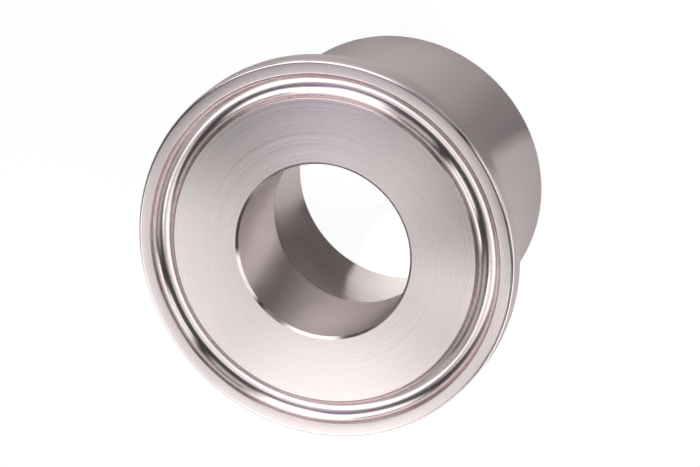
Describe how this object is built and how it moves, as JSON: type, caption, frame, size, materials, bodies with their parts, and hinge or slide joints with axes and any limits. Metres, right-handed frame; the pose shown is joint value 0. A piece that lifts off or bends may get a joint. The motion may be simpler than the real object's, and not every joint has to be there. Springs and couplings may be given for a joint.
{
  "type": "sanitary clamp adapter",
  "caption": "Turned stainless clamp adapter with a gasket groove in its flange face and a stepped bore through it, for joining sanitary tubing.",
  "frame": {"origin": "centre of the plain end, on the bore axis", "axes": "+Z along the bore axis, from the plain end to the clamp face"},
  "size_m": [0.0506, 0.0504, 0.034],
  "materials": {
    "stainless_steel": "fine turned and polished"
  },
  "bodies": {
    "root": {"clamp_adapter": "stainless_steel"}
  },
  "joints": []
}
